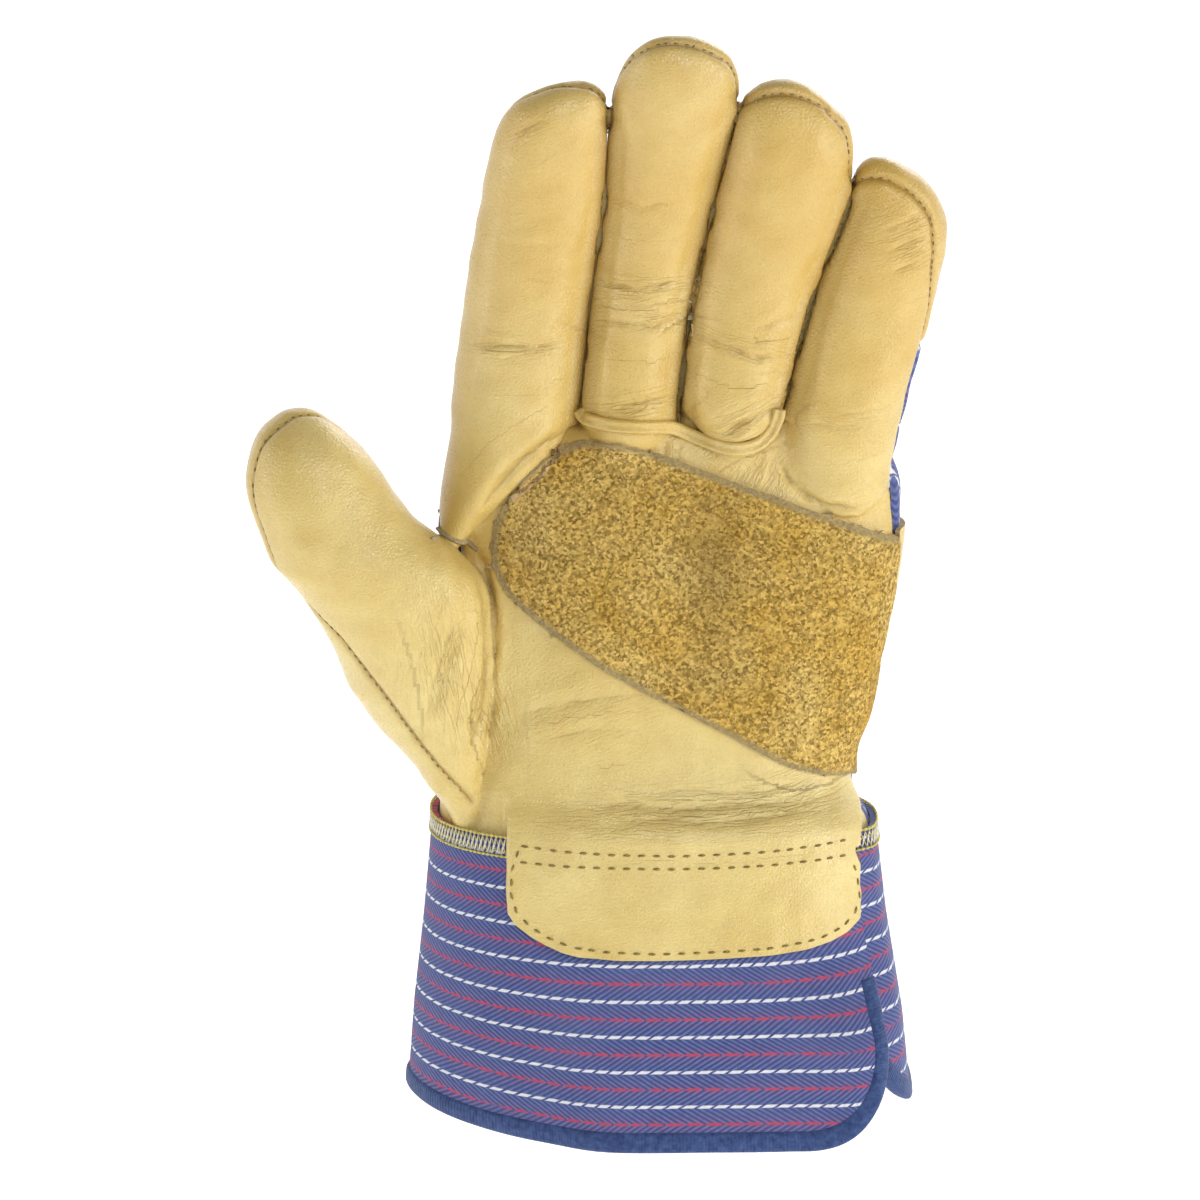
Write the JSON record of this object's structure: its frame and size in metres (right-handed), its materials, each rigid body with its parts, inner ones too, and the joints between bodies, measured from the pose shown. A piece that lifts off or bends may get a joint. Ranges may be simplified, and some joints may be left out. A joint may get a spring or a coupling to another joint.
{
  "type": "work glove",
  "caption": "Left-hand pigskin work glove with a suede palm patch, a flared striped canvas safety cuff and a bound hem, filled out as worn.",
  "frame": {"origin": "middle of the wrist opening, in the plane where the cuff is sewn to the hand", "axes": "+Z from the wrist towards the fingertips, palm facing -Y, back of the hand towards +Y, thumb towards -X"},
  "size_m": [0.166, 0.0804, 0.2702],
  "materials": {
    "grain_leather": "satin",
    "suede_leather": "matt",
    "striped_canvas": "matt",
    "navy_tape": "matt"
  },
  "bodies": {
    "root": {"palm_leather": "grain_leather", "middle_finger_front": "grain_leather", "ring_finger_front": "grain_leather", "finger_base_welt": "grain_leather", "palm_patch": "suede_leather", "thumb_back": "grain_leather", "index_finger_back": "grain_leather", "middle_fingertip_back": "grain_leather", "ring_fingertip_back": "grain_leather", "little_fingertip_back": "grain_leather", "back_canvas": "striped_canvas", "knuckle_strap": "grain_leather", "cuff_canvas": "striped_canvas", "cuff_binding": "navy_tape"}
  },
  "joints": []
}
